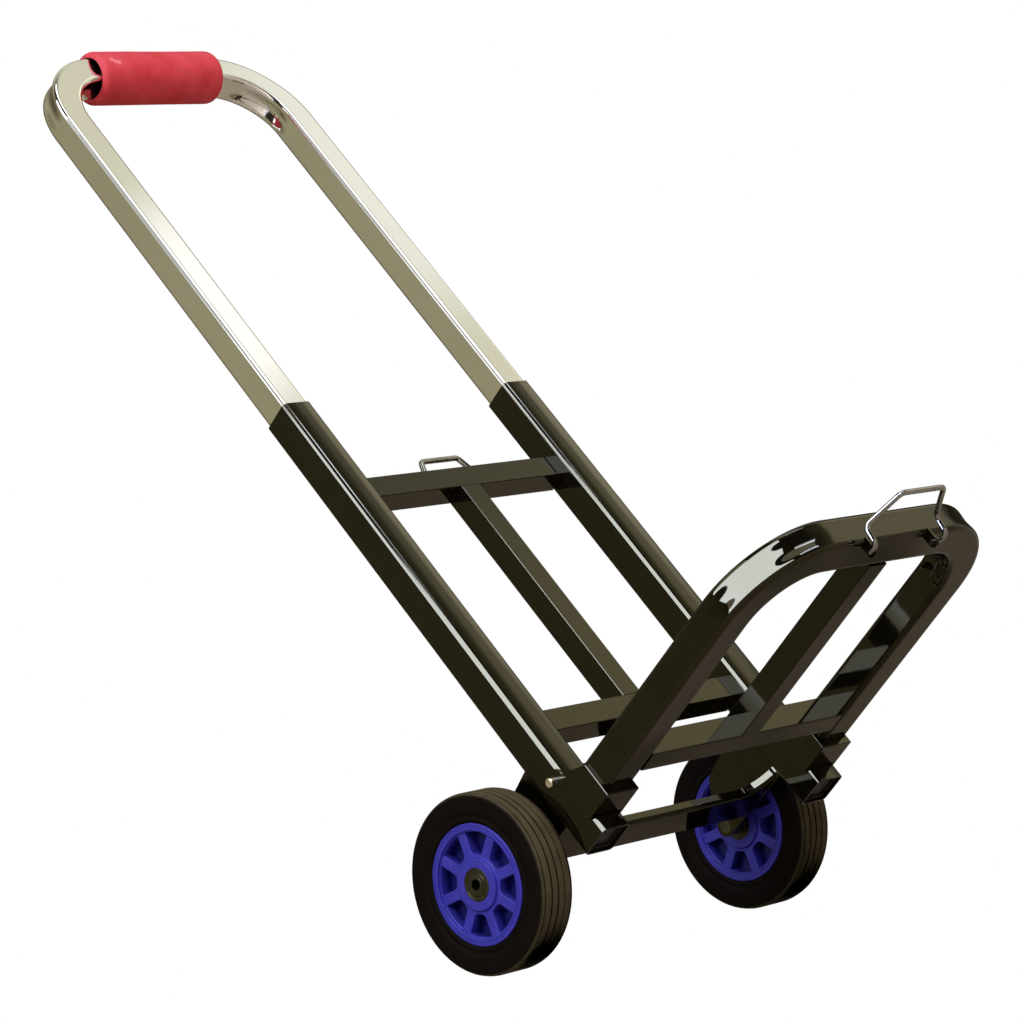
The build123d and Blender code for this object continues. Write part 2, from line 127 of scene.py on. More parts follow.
# %% [markdown]
# ## Helpers for colours and shaders
# Three more helpers mix two colours, mix two shaders, and start a material. Its constant values go
# straight onto the shader's own sockets, because other programs read them there and not from nodes.

# %% Colour and shader helpers
def mix_colours(tree, share, first, second):
    """A colour between two others. A Mix node has its colours at sockets 6 and 7 and its result at 2."""
    sockets = {"Factor": share, 6: first, 7: second}
    return add_node(tree, "ShaderNodeMix", sockets, data_type="RGBA").outputs[2]


def mix_shaders(tree, share, first, second):
    """A shader between two others."""
    sockets = {"Fac": share, 1: first.outputs[0], 2: second.outputs[0]}
    return add_node(tree, "ShaderNodeMixShader", sockets)


def new_finish(name, **sockets):
    """A material with a Principled shader, and the constant values on that shader's own sockets."""
    finish = bpy.data.materials.new(name)
    finish.use_nodes = True
    shader = finish.node_tree.nodes["Principled BSDF"]
    for socket, value in sockets.items():
        shader.inputs[socket.replace("_", " ").title().replace("Ior", "IOR")].default_value = value
    return finish, finish.node_tree, shader


print("colour and shader helpers ready")

# %% [markdown]
# ## The surroundings
# The picture's background is plain white, while the bright tube shows a soft cream light on one side
# and olive shade on the other. A studio does this with a pale tent. Walls of cloth could be modelled,
# but the world can be the tent: a gradient along one direction, with soft windows, two dark corners and
# a dark flag. Reflections and soft light see the tent, while camera rays see white.

# %% Tent
olive, cream = (0.30, 0.277, 0.175, 1), (0.69, 0.675, 0.53, 1)
tent_axis = (0.50, -0.80, 0.33)
tent_start, tent_end = -0.2, 0.8
flag_axis = Vector((-0.51, -0.69, 0.44)).normalized()
flag_edge, flag_end, flag_shade = 0.30, 0.62, 0.08
# Each window has a turn, a rise and a radius in degrees, and a colour.
windows = [
    (6.0, 27.0, 36.0, (0.05, 0.045, 0.03, 1)),
    (78.0, 28.0, 46.0, (0.09, 0.065, 0.04, 1)),
    (306.0, 26.0, 14.0, (0.34, 0.31, 0.19, 1)),
    (333.5, 28.0, 7.0, (1.65, 1.55, 1.15, 1)),
    (323.0, 19.0, 9.0, (1.05, 0.98, 0.66, 1)),
    (325.0, 31.8, 3.6, (0.92, 0.91, 0.83, 1)),
    (320.6, 31.3, 2.5, (1.2, 1.2, 1.18, 1)),
]

world = bpy.data.worlds.new("tent")
scene.world = world
world.use_nodes = True
tree = world.node_tree
tree.nodes.clear()
heading = add_node(tree, "ShaderNodeTexCoord").outputs["Generated"]


def along(axis):
    """How far a ray points along an axis, from -1 to 1."""
    product = add_node(tree, "ShaderNodeVectorMath", {0: heading, 1: axis}, operation="DOT_PRODUCT")
    return product.outputs["Value"]


print("tent has", len(windows), "windows and corners")

# %% [markdown]
# ## Hang up the tent
# The cloth runs from olive to cream, and each window is a round patch with a soft rim that is mixed over
# it. A painted picture of a studio could do the same, but here each patch can be moved by its numbers.
# The flag dims one side. Light Path tells camera rays from the rest, and gives them plain white.

# %% World
towards_cream = map_range(tree, along(tent_axis), tent_start, tent_end, smooth=True)
cloth = mix_colours(tree, towards_cream, olive, cream)
for turn, rise, radius, light in windows:
    level = cos(radians(rise))
    axis = Vector((level * cos(radians(turn)), level * sin(radians(turn)), sin(radians(rise))))
    rim, full = cos(radians(radius)), cos(radians(radius / 3))
    cloth = mix_colours(tree, map_range(tree, along(axis), rim, full, smooth=True), cloth, light)
strength = map_range(tree, along(flag_axis), flag_end, flag_edge, flag_shade, 1.0)
tent = add_node(tree, "ShaderNodeBackground", {"Color": cloth, "Strength": strength})
white = add_node(tree, "ShaderNodeBackground", {"Color": (1, 1, 1, 1), "Strength": 1.0})
rays = add_node(tree, "ShaderNodeLightPath").outputs
direct = calculate(tree, "MAXIMUM", rays["Is Camera Ray"], rays["Is Transmission Ray"])
add_node(tree, "ShaderNodeOutputWorld", {"Surface": mix_shaders(tree, direct, tent, white).outputs[0]})
print("world:", len(tree.nodes), "nodes")

# %% [markdown]
# ## The floor's finish
# The truck stands on a pale floor, but this camera looks up from under it. A floor with a hole would
# lose its shadow, so the material is clear from behind and matt from above. Reflections see a warmer
# floor than the camera does, and far out the floor fades into the white background.

# %% Floor finish
fade_start, fade_end = 0.45, 2.4

floor_finish, tree, shader = new_finish("pale_floor", roughness=0.9)
place = add_node(tree, "ShaderNodeTexCoord").outputs["Object"]
by_camera = add_node(tree, "ShaderNodeLightPath").outputs["Is Camera Ray"]
grain = add_node(tree, "ShaderNodeTexNoise", {"Vector": place, "Scale": 9.0, "Detail": 3.0}).outputs["Fac"]
warm = mix_colours(tree, grain, (0.62, 0.51, 0.41, 1), (0.68, 0.57, 0.47, 1))
pale = mix_colours(tree, grain, (0.92, 0.91, 0.90, 1), (0.96, 0.95, 0.94, 1))
join(tree, mix_colours(tree, by_camera, warm, pale), shader.inputs["Base Color"])

away = add_node(tree, "ShaderNodeVectorMath", {0: place}, operation="LENGTH").outputs["Value"]
fade = calculate(tree, "MULTIPLY", map_range(tree, away, fade_start, fade_end, smooth=True), by_camera)
glow = add_node(tree, "ShaderNodeEmission", {"Color": (1, 1, 1, 1), "Strength": 1.0})
faded = mix_shaders(tree, fade, shader, glow)
clear = add_node(tree, "ShaderNodeBsdfTransparent")
from_below = add_node(tree, "ShaderNodeNewGeometry").outputs["Backfacing"]
two_sided = mix_shaders(tree, from_below, faded, clear)
join(tree, two_sided.outputs[0], tree.nodes["Material Output"].inputs["Surface"])
print("made", floor_finish.name, "with", len(tree.nodes), "nodes")

# %% [markdown]
# ## The floor
# The floor is one large square. A plane from the Add menu would do, but operators depend on what is
# selected, so the square is made as a bmesh. The helper for that serves the tubes and the grip too.

# %% Floor
floor_half = 6.0


def shape_object(name, shape):
    """A new object from a bmesh, which is freed."""
    mesh = bpy.data.meshes.new(name)
    shape.to_mesh(mesh)
    shape.free()
    return add_object(name, mesh)


shape = bmesh.new()
bmesh.ops.create_grid(shape, x_segments=1, y_segments=1, size=floor_half)
floor = shape_object("floor", shape)
floor.data.materials.append(floor_finish)
print("floor", 2 * floor_half, "m wide")

# %% [markdown]
# ## The lamps
# Three soft lamps light the colours: in front and above, at the truck's right, and low in front. One
# sun would be simpler, but it gives hard shadows. Large area lamps give the soft light of a studio.
# Reflections don't see them, because the next cell hangs up what the paint mirrors.

# %% Lamps
def soft_lamp(name, place, aim, width, height, watts):
    """A rectangular area lamp that looks at a point."""
    data = bpy.data.lights.new(name, "AREA")
    data.shape = "RECTANGLE"
    data.size, data.size_y = width, height
    data.energy = watts
    lamp = add_object(name, data)
    lamp.location = place
    lamp.rotation_euler = (Vector(aim) - Vector(place)).to_track_quat("-Z", "Y").to_euler()
    return lamp


middle = Vector((0.0, 0.0, 0.45))
lamps = [
    ("front_lamp", (-0.7, -4.2, 3.6), 2.5, 115),
    ("side_lamp", (-4.4, -1.6, 2.6), 2.5, 105),
    ("low_lamp", (-2.6, -3.6, 0.8), 1.4, 50),
]
for name, place, size, watts in lamps:
    soft_lamp(name, place, middle, size, size, watts).visible_glossy = False
print("lamps:", ", ".join(lamp[0] for lamp in lamps))

# %% [markdown]
# ## Cards for the paint
# White lines run along the rounded edges of the tubes. They are reflections, so their source is in the
# mirror direction of those edges, where a studio hangs white cards. Here a card is a lamp that only
# reflections see: it draws the lines and adds no light to the colours. The cards stand far away, so
# that all edges see them at the same angles, and a gap between them draws a dark line in the white.

# %% Cards
card_distance = 20.0
paint_white, plain_white = (0.57, 0.67, 1.08), (0.96, 0.98, 1.0)


def hang_card(name, turn, spread, low, high, brightness, colour):
    """A card far away at a turn and between two heights in degrees, that only reflections see."""
    foot, top = card_distance * tan(radians(low)), card_distance * tan(radians(high))
    width = 2 * card_distance * tan(radians(spread / 2))
    height = middle.z + (foot + top) / 2
    place = (card_distance * cos(radians(turn)), card_distance * sin(radians(turn)), height)
    watts = brightness * pi * width * (top - foot)
    card = soft_lamp(name, place, (0, 0, height), width, top - foot, watts)
    card.data.color = colour
    card.visible_diffuse = False
    return card


# Each card has a turn, a spread, a low and a high edge in degrees, and a brightness.
paint_places = [(179, 26, 15, 29.6, 26), (205, 26, 15, 29.6, 26), (238, 40, 15, 26.2, 26)]
paint_places += [(283, 26, 25.5, 26.5, 5), (283, 26, 26.5, 27.7, 8), (283, 26, 27.7, 29.6, 24)]
high_places = [(turn, 26, 29.6, 38, 1.6) for turn in (179, 205, 231, 257, 283)]
top_places = [(192, 52, 38, 66, 2.5), (283, 26, 38, 66, 2.5)]
cards = {}
for kind, places, colour in (
    ("paint_card", paint_places, paint_white),
    ("high_card", high_places, plain_white),
    ("top_card", top_places, plain_white),
):
    cards[kind] = [hang_card(f"{kind}_{n}", *place, colour) for n, place in enumerate(places)]
    print(len(cards[kind]), "of", kind)

# %% [markdown]
# ## Patterns that the finishes share
# No real finish is one flat colour. Paint has a faint orange-peel ripple, plating has soft patches,
# rubber is dusty. Image textures could show that, but they need files and unwrapping. So all of these
# start from noise on the piece's own Object coordinates, and the next cell has a helper each for the
# noise, for a colour or a value between two ends, and for the bumps.

# %% Pattern helpers
def object_noise(tree, scale, detail=2.0, stretch=(1, 1, 1)):
    """Noise on the piece's own coordinates; stretch squeezes it along an axis."""
    place = add_node(tree, "ShaderNodeTexCoord").outputs["Object"]
    mapping = add_node(tree, "ShaderNodeMapping", {"Vector": place, "Scale": stretch})
    sockets = {"Vector": mapping.outputs[0], "Scale": scale, "Detail": detail, "Roughness": 0.55}
    return add_node(tree, "ShaderNodeTexNoise", sockets).outputs["Fac"]


def between(tree, pattern, low, high, sharp=0.5):
    """A colour that runs from low to high as the noise goes through its middle range."""
    share = map_range(tree, pattern, 0.5 - sharp / 2, 0.5 + sharp / 2)
    return mix_colours(tree, share, (*low, 1), (*high, 1))


def colour_and_gloss(tree, shader, colour, pattern, smooth, rough):
    """Give a shader its colour, and a roughness that runs from smooth to rough with the noise."""
    join(tree, colour, shader.inputs["Base Color"])
    noise_low, noise_high = 0.25, 0.75
    roughness = map_range(tree, pattern, noise_low, noise_high, smooth, rough)
    join(tree, roughness, shader.inputs["Roughness"])


def bumps(tree, shader, pattern, depth, strength=1.0):
    """Tilt the surface by a height pattern; depth is the height of the bumps in metres."""
    bump = add_node(tree, "ShaderNodeBump", {"Height": pattern, "Strength": strength, "Distance": depth})
    join(tree, bump.outputs["Normal"], shader.inputs["Normal"])
    return bump


def distance_out(tree):
    """How far a point lies from the truck's middle plane, in metres."""
    place = add_node(tree, "ShaderNodeTexCoord").outputs["Object"]
    split = add_node(tree, "ShaderNodeSeparateXYZ", {0: place})
    return calculate(tree, "ABSOLUTE", split.outputs["X"])


finishes = {}
print("pattern helpers ready")

# %% [markdown]
# ## Black gloss paint
# The frame and platform are dipped or sprayed in black gloss, which mirrors its surroundings like a
# dark window and has a warm cast. The ripple of sprayed paint is a few millimetres wide and only
# microns high: just enough to bend the long reflections. The faces of a rolled tube bulge by a few
# tenths of a millimetre, which the legs' own version of the paint adds as a normal.

# %% Black paint
leg_x, half_face, crown_radius = 0.135, 0.0115, 0.10
warm_cast = (0.95, 0.83, 0.46, 1)


def crowned_face(tree):
    """A normal that bulges the front and back of the legs, as rolled tube does."""
    from_middle = calculate(tree, "SUBTRACT", distance_out(tree), leg_x)
    square = calculate(tree, "MINIMUM", calculate(tree, "POWER", from_middle, 2), half_face**2)
    height = calculate(tree, "MULTIPLY", square, -0.5 / crown_radius)
    crown = add_node(tree, "ShaderNodeBump", {"Height": height, "Strength": 1.0, "Distance": 1.0})
    return crown.outputs["Normal"]


for name in ("black_paint", "black_paint_legs"):
    finish, tree, shader = new_finish(name, ior=1.5, specular_tint=warm_cast)
    colour = between(tree, object_noise(tree, 14.0), (0.002, 0.0016, 0.001), (0.005, 0.0042, 0.0026))
    colour_and_gloss(tree, shader, colour, object_noise(tree, 40.0, 3.0), 0.025, 0.055)
    ripple = bumps(tree, shader, object_noise(tree, 200.0, 1.0), 0.000006)
    if name == "black_paint_legs":
        join(tree, crowned_face(tree), ripple.inputs["Normal"])
    finishes[name] = finish
print("made black_paint and black_paint_legs")

# %% [markdown]
# ## Bright plating
# The sliding handle is plated: a clean mirror with a slight yellow warmth. Plating follows the polishing
# marks of the tube below, so the roughness varies in streaks along the legs. The wires of the cord loop and
# the bail are plated too, without streaks, and their colour is darkened as painted shade that stands in for
# the dark surroundings they mirror.

# %% Bright plating
finish, tree, shader = new_finish("bright_chrome", metallic=1.0)
colour = between(tree, object_noise(tree, 10.0), (0.86, 0.85, 0.80), (0.92, 0.91, 0.87))
streaks = object_noise(tree, 160.0, 3.0, stretch=(1, 1, 0.04))
colour_and_gloss(tree, shader, colour, streaks, 0.045, 0.08)
finishes["bright_chrome"] = finish

# Painted shade: the wires' plating is darkened to stand in for the dark surroundings they mirror.
finish, tree, shader = new_finish("wire_chrome", metallic=1.0)
colour = between(tree, object_noise(tree, 60.0), (0.26, 0.25, 0.23), (0.40, 0.39, 0.37))
colour_and_gloss(tree, shader, colour, object_noise(tree, 420.0), 0.04, 0.09)
finishes["wire_chrome"] = finish
print("made bright_chrome and wire_chrome")

# %% [markdown]
# ## Red foam
# The grip is a soft foam sleeve with a smooth skin. Its colour is clouded and the skin shows fine pores. One
# short stroke along a shallow crease gets a pale painted highlight, and the bore gets painted shade. A
# texture could not know where those two are, so the grip carries them as attributes of its points, and the
# finish reads them by name.

# %% Red foam
# Painted light on the foam: a pale highlight along one crease, and dark painted shade in the bore.
foam_painted_light = {"painted_highlight": (0.86, 0.30, 0.36, 1), "bore": (0.045, 0.016, 0.022, 1)}

finish, tree, shader = new_finish("red_foam", specular_ior_level=0.12)
colour = between(tree, object_noise(tree, 38.0, 3.0), (0.64, 0.042, 0.058), (0.76, 0.076, 0.108), 0.4)
for mark, mark_colour in foam_painted_light.items():
    where = add_node(tree, "ShaderNodeAttribute", attribute_name=mark)
    colour = mix_colours(tree, where.outputs["Fac"], colour, mark_colour)
colour_and_gloss(tree, shader, colour, object_noise(tree, 90.0), 0.45, 0.62)
bumps(tree, shader, object_noise(tree, 900.0, 3.0), 0.00008, 0.6)
finishes["red_foam"] = finish
print("made", finish.name, "with the marks", ", ".join(foam_painted_light))

# %% [markdown]
# ## Tyre rubber
# The tyres are solid black rubber, and light and shade are painted into their colour: the sides are painted
# nearly black as shade, the tread and its shoulders are painted a lit olive, and the grooves keep the
# painted shade. A dusty mottle varies both at random. Two materials would meet in a hard line. So both live
# in one finish that measures how far a point lies from the axle, and how far from the nearest groove.

# %% Tyre rubber
axle = Vector((0.1626, 0.189325, 0.075))
groove_pitch, half_groove = 0.0074, 0.0008
lit_tread_start, lit_tread_end = 0.0722, 0.0748


def wheel_depth(tree):
    """How far a point of a wheel lies from the middle plane of its wheel, in metres."""
    return calculate(tree, "ABSOLUTE", calculate(tree, "SUBTRACT", distance_out(tree), axle.x))


finish, tree, shader = new_finish("tyre_rubber", specular_ior_level=0.02)
place = add_node(tree, "ShaderNodeTexCoord").outputs["Object"]
to_axle = {"Vector": place, "Location": (0, -axle.y, -axle.z), "Scale": (0, 1, 1)}
about_axle = add_node(tree, "ShaderNodeMapping", to_axle).outputs[0]
distance = add_node(tree, "ShaderNodeVectorMath", {0: about_axle}, operation="LENGTH").outputs["Value"]
from_groove = calculate(tree, "PINGPONG", wheel_depth(tree), groove_pitch / 2)
land = calculate(tree, "GREATER_THAN", from_groove, half_groove)
# Painted light: beyond a radius the tread and shoulders take the lit olive, except in the grooves, which
# keep the painted shade.
lit_tread = calculate(tree, "MULTIPLY", map_range(tree, distance, lit_tread_start, lit_tread_end), land)
dust = object_noise(tree, 55.0, 4.0)
# Painted shade darkens the sides, and the olive is painted light on the tread.
shaded_side_black = between(tree, dust, (0.0048, 0.0028, 0.0012), (0.0085, 0.0055, 0.0028))
lit_tread_olive = between(tree, dust, (0.078, 0.064, 0.034), (0.116, 0.096, 0.056))
colour = mix_colours(tree, lit_tread, shaded_side_black, lit_tread_olive)
colour_and_gloss(tree, shader, colour, object_noise(tree, 120.0, 3.0), 0.50, 0.70)
bumps(tree, shader, object_noise(tree, 1400.0, 2.0), 0.00006, 0.5)
finishes["tyre_rubber"] = finish
print("made", finish.name)

# %% [markdown]
# ## Blue and black plastic
# The hubs are a saturated blue moulding with a satin surface, a little mottled from the mould. Painted shade
# makes them darker in the depth of the pockets. An Ambient Occlusion node could darken them, but it is slow
# and grainy, so the finish paints the shade by depth. The plugs and spacers are a plain black moulding.

# %% Plastics
pocket_depth, face_depth = 0.0045, 0.0145
pocket_shade_blue = (0.0055, 0.0042, 0.125, 1)

finish, tree, shader = new_finish("blue_plastic", specular_ior_level=0.15)
face_blue = between(tree, object_noise(tree, 70.0, 3.0), (0.038, 0.034, 0.39), (0.052, 0.047, 0.48))
# Painted shade: the blue darkens towards the floor of the pockets.
out_of_pocket_shade = map_range(tree, wheel_depth(tree), pocket_depth, face_depth)
colour = mix_colours(tree, out_of_pocket_shade, pocket_shade_blue, face_blue)
colour_and_gloss(tree, shader, colour, object_noise(tree, 200.0), 0.34, 0.48)
bumps(tree, shader, object_noise(tree, 1600.0, 2.0), 0.00003, 0.5)
finishes["blue_plastic"] = finish

finish, tree, shader = new_finish("black_plastic")
colour = between(tree, object_noise(tree, 90.0, 3.0), (0.010, 0.009, 0.008), (0.020, 0.018, 0.016))
colour_and_gloss(tree, shader, colour, object_noise(tree, 260.0), 0.32, 0.5)
bumps(tree, shader, object_noise(tree, 1500.0, 2.0), 0.00004, 0.5)
finishes["black_plastic"] = finish
print("made blue_plastic and black_plastic")

# %% [markdown]
# ## Bearings, pins and buttons
# The bearing rings and axles are dull steel with an oily, bronze cast. The pivot pins are bright
# steel with a brass tip, which the finish finds by how far out a point lies. The hidden snap buttons
# are plain plated steel. The three differ in little but numbers, so one loop over a table makes them.

# %% Small metal finishes
# Each metal has two colours and the ends of its roughness.
small_metals = {
    "bearing_steel": ((0.040, 0.033, 0.013), (0.062, 0.052, 0.022), 0.30, 0.48),
    "pin_brass": ((0.66, 0.53, 0.30), (0.80, 0.68, 0.44), 0.16, 0.30),
    "button_steel": ((0.50, 0.50, 0.49), (0.62, 0.61, 0.60), 0.20, 0.34),
}
pin_end, tip_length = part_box("pivot_pin_left")[1][0], 0.004
pin_steel = (0.72, 0.72, 0.73, 1)
for name, (low, high, smooth, rough) in small_metals.items():
    finish, tree, shader = new_finish(name, metallic=1.0)
    colour = between(tree, object_noise(tree, 180.0, 3.0), low, high)
    if name == "pin_brass":
        tip = calculate(tree, "GREATER_THAN", distance_out(tree), pin_end - tip_length)
        colour = mix_colours(tree, tip, pin_steel, colour)
    turning = object_noise(tree, 700.0, 2.0, stretch=(1, 0.2, 0.2))
    colour_and_gloss(tree, shader, colour, turning, smooth, rough)
    bumps(tree, shader, turning, 0.00002, 0.4)
    finishes[name] = finish
print("made", ", ".join(small_metals))

# %% [markdown]
# ## Hand the finishes out
# Each piece of the construction model could be dressed by hand. But the model's record says which finish
# each piece takes, so one loop dresses them all. Only the side tubes get the paint with the bulge.

# %% Dress the construction model
for part in frame["record"]["subparts"]:
    piece = frame["nodes"][part["node"]]
    piece.data.materials.clear()
    finish_name = "black_paint_legs" if part["node"].startswith("side_tube") else part["material_slot"]
    piece.data.materials.append(finishes[finish_name])

# %% [markdown]
# ## A lathe made of nodes
# A tyre is a turned shape: one section, carried round the axle. The Screw modifier or Spin could do
# it. A Geometry Nodes tree is chosen because it is a rule with named inputs: a grid has one row for
# each point of the section and one column for each step round, and every grid point is moved to
# where its row and column say. The seam is then merged.

# %% Lathe
lathe = bpy.data.node_groups.new("lathe", "GeometryNodeTree")
for name, kind in (("Section", "Geometry"), ("Steps", "Int"), ("Axle", "Vector"), ("Finish", "Material")):
    lathe.interface.new_socket(name, in_out="INPUT", socket_type=f"NodeSocket{kind}")
lathe.interface.new_socket("Turned", in_out="OUTPUT", socket_type="NodeSocketGeometry")
given = add_node(lathe, "NodeGroupInput").outputs

section_size = {"Geometry": given["Section"]}
size = add_node(lathe, "GeometryNodeAttributeDomainSize", section_size, component="MESH")
points = size.outputs["Point Count"]
columns = calculate(lathe, "ADD", given["Steps"], 1)
rows = calculate(lathe, "ADD", points, 1)
grid = add_node(lathe, "GeometryNodeMeshGrid", {"Vertices X": rows, "Vertices Y": columns})
index = add_node(lathe, "GeometryNodeInputIndex").outputs[0]
row = calculate(lathe, "FLOOR", calculate(lathe, "DIVIDE", index, columns))
column = calculate(lathe, "SUBTRACT", index, calculate(lathe, "MULTIPLY", row, columns))
turn = calculate(lathe, "MULTIPLY", calculate(lathe, "DIVIDE", column, given["Steps"]), 2 * pi)
print("lathe grid:", len(lathe.nodes), "nodes")

# %% [markdown]
# ## Carry the section round
# Each grid point now knows its row and its turn. Sample Index looks up the section's point for that
# row: X is its place along the axle and Y its radius, which sine and cosine carry round. The tree ends
# in Realize Instances and Set Material, because other programs read plain meshes.

# %% Lathe turn
merge_distance = 1e-6
looked_up = {
    "Geometry": given["Section"],
    "Value": add_node(lathe, "GeometryNodeInputPosition").outputs[0],
    "Index": calculate(lathe, "MODULO", row, points),
}
sample = add_node(lathe, "GeometryNodeSampleIndex", looked_up, data_type="FLOAT_VECTOR", domain="POINT")
split = add_node(lathe, "ShaderNodeSeparateXYZ", {0: sample.outputs["Value"]}).outputs
turned = {"X": split["X"]}
for axis, operation in (("Y", "COSINE"), ("Z", "SINE")):
    turned[axis] = calculate(lathe, "MULTIPLY", split["Y"], calculate(lathe, operation, turn))
place = add_node(lathe, "ShaderNodeCombineXYZ", turned).outputs[0]
shifted = add_node(lathe, "ShaderNodeVectorMath", {0: place, 1: given["Axle"]}, operation="ADD").outputs[0]

flow = grid.outputs["Mesh"]
for kind, sockets in (
    ("SetPosition", {"Position": shifted}),
    ("MergeByDistance", {"Distance": merge_distance}),
    ("SetShadeSmooth", {}),
    ("RealizeInstances", {}),
    ("SetMaterial", {"Material": given["Finish"]}),
):
    flow = add_node(lathe, f"GeometryNode{kind}", {"Geometry": flow, **sockets}).outputs[0]
add_node(lathe, "NodeGroupOutput", {"Turned": flow})
print("lathe:", len(lathe.nodes), "nodes")

# %% [markdown]
# ## The tyre's section
# The section is drawn as half of the tyre, from the middle of the tread over the shoulder and down
# the side to the bore, and mirrored. Five fine grooves run round the tread. A bump could fake them, but
# they show in the outline. The side swells a little and steps in to a lip that sits on the hub, and a
# slot in the bore holds the hub's key.

# %% Tyre section
def arc(centre, radius, start, end, steps=8):
    """Points on an arc in the section, angles in degrees."""
    turns = [radians(start + (end - start) * step / steps) for step in range(steps + 1)]
    return [(centre[0] + radius * cos(turn), centre[1] + radius * sin(turn)) for turn in turns]


tyre_radius, half_tyre, bore_radius = 0.075, 0.018, 0.0504
shoulder, bead, lip = 0.0040, 0.0024, 0.0006
groove_depth, groove_edge = 0.0012, 0.0002
half_key, key_radius = 0.0066, 0.0541
shoulder_start = half_tyre - shoulder
# Each point of the side has its distance in from the widest place and its radius.
side_points = [(0.0, 0.0640), (0.0001, 0.0600), (0.0004, 0.0580)]
side_points += [(0.0010, 0.0566), (0.0011, 0.0552), (lip, 0.0543)]


def tread_top(x):
    """Radius of the tread at a distance from its middle, round at the shoulder."""
    past = max(0.0, x - shoulder_start)
    return tyre_radius - shoulder + (shoulder**2 - past**2) ** 0.5


half_section = []
for place, sides in ((0.0, (1,)), (groove_pitch, (-1, 1)), (2 * groove_pitch, (-1, 1))):
    for side in sides:
        brink, face = place + side * (half_groove + groove_edge), place + side * half_groove
        wall = [
            (brink, tread_top(brink)),
            (face, tread_top(face) - groove_edge),
            (face, tread_top(place) - groove_depth),
        ]
        half_section += wall if side < 0 else wall[::-1]
first_turn = degrees(acos((half_section[-1][0] - shoulder_start) / shoulder))
half_section += arc((shoulder_start, tyre_radius - shoulder), shoulder, first_turn, 0)[1:]
half_section += [(half_tyre - inset, radius) for inset, radius in side_points]
half_section += arc((half_tyre - lip - bead, bore_radius + bead), bead, 0, -90)
half_section += [(half_key, bore_radius), (half_key, key_radius)]
tyre_section = [(-x, radius) for x, radius in half_section] + half_section[::-1]
print("tyre section:", len(tyre_section), "points")

# %% [markdown]
# ## Finished pieces
# A modifier could stay live on a piece, but a finished piece is a plain mesh that any program reads. So
# one helper keeps a modifier's result and drops its maker. Another says which body a piece rides on,
# which node it stands for and whose finish it takes, and counts open edges, because a solid has none.

# %% Finished pieces
millilitres = 1e6


def plain_piece(name, maker):
    """Turn a piece with live modifiers into a plain mesh of the same name, and drop the maker."""
    graph = bpy.context.evaluated_depsgraph_get()
    mesh = bpy.data.meshes.new_from_object(maker.evaluated_get(graph))
    bpy.data.objects.remove(maker)
    return add_object(name, mesh)


def stand_in(piece, body, node, finish_name):
    """Let a piece ride on a body, stand for a node and take a finish, and say what its mesh is like."""
    piece.data.materials.clear()
    piece.data.materials.append(finishes[finish_name])
    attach(piece, body)
    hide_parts(node)
    shape = bmesh.new()
    shape.from_mesh(piece.data)
    volume = round(shape.calc_volume(signed=True) * millilitres, 1)
    open_edges = sum(len(edge.link_faces) != 2 for edge in shape.edges)
    print(piece.name, len(shape.faces), "faces,", volume, "ml,", open_edges, "open edges")
    shape.free()


print("piece helpers ready")

# %% [markdown]
# ## The tyres
# Two equal tyres sit at the ends of the axle line. One could be made and mirrored, but mirroring turns
# faces inside out. So the lathe runs twice, with the axle's place as its input. The section is a mesh of
# loose points, and an angle limit keeps the edges of the grooves sharp.

# %% Tyres
tyre_steps, tyre_crease = 144, 35
wheels = (("right", -axle.x), ("left", axle.x))
for side, x in wheels:
    section_mesh = bpy.data.meshes.new("tyre_section")
    section_mesh.from_pydata([(along_x, radius, 0) for along_x, radius in tyre_section], [], [])
    maker = add_object("tyre_maker", section_mesh)
    turning = maker.modifiers.new("lathe", "NODES")
    turning.node_group = lathe
    inputs = {"Steps": tyre_steps, "Axle": (x, axle.y, axle.z), "Finish": finishes["tyre_rubber"]}
    for socket in lathe.interface.items_tree:
        if socket.in_out == "INPUT" and socket.name in inputs:
            turning[socket.identifier] = inputs[socket.name]
    tyre = plain_piece(f"turned_tyre_{side}", maker)
    tyre.data.set_sharp_from_angle(angle=radians(tyre_crease))
    stand_in(tyre, f"wheel_{side}", f"tyre_{side}", "tyre_rubber")

# %% [markdown]
# ## A rule for the spokes
# The spokes of the construction model lie deep below the rim of the hub. On the real hub they stand
# nearly level with it. Nothing needs to be drawn anew: the points between boss and rim are drawn
# outwards by a rule, so that the spokes rise, the pockets get deeper and the rim stays.

# %% Spoke rule
half_hub, half_web, old_spoke, new_spoke = 0.017, 0.004, 0.0105, 0.0150
boss_reach, rim_reach = 0.0204, 0.0452


def drawn_out(point, x):
    """The place of a point of the hub once the spokes are drawn outwards."""
    depth, reach = abs(point.x - x), hypot(point.y - axle.y, point.z - axle.z)
    if not boss_reach < reach < rim_reach or depth <= half_web:
        return point
    if depth <= old_spoke:
        depth = half_web + (depth - half_web) * (new_spoke - half_web) / (old_spoke - half_web)
    else:
        depth = new_spoke + (depth - old_spoke) * (half_hub - new_spoke) / (half_hub - old_spoke)
    return Vector((x + copysign(depth, point.x - x), point.y, point.z))


print("spokes rise by", round((new_spoke - old_spoke) * 1000, 1), "mm on each side")

# %% [markdown]
# ## The hubs
# The imported mesh is split along its edges, so each edge has its points twice. Merge by Distance would
# join them, but the normals that make its curves smooth could be lost on the way. So the copy joins equal
# points in code, and takes each corner's normal along.

